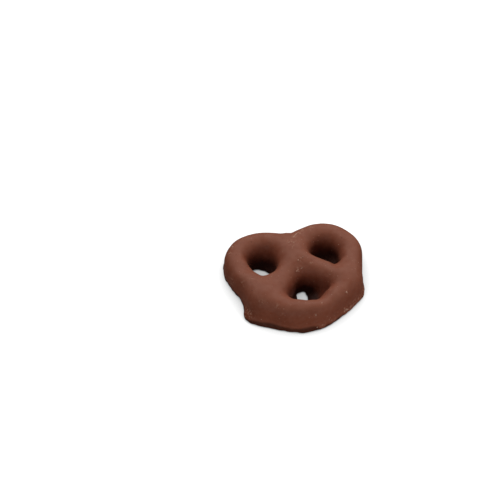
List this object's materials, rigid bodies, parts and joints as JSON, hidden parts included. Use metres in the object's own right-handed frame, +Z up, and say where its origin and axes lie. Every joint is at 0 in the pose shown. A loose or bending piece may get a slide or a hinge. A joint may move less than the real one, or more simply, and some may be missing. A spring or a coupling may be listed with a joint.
{
  "type": "chocolate covered pretzel",
  "caption": "Small twist pretzel in a smooth milk chocolate coat: a rope looped and crossed into a rounded heart with three openings, on a flat underside.",
  "frame": {"origin": "on the flat underside, below the middle of the box round the pretzel", "axes": "+Z up from the flat underside, +X along the pretzel's width from the left lobe to the right lobe, +Y towards the notch between the two lobes"},
  "size_m": [0.0476, 0.043, 0.0111],
  "materials": {
    "milk_chocolate": "satin"
  },
  "bodies": {
    "root": {"pretzel": "milk_chocolate"}
  },
  "joints": []
}
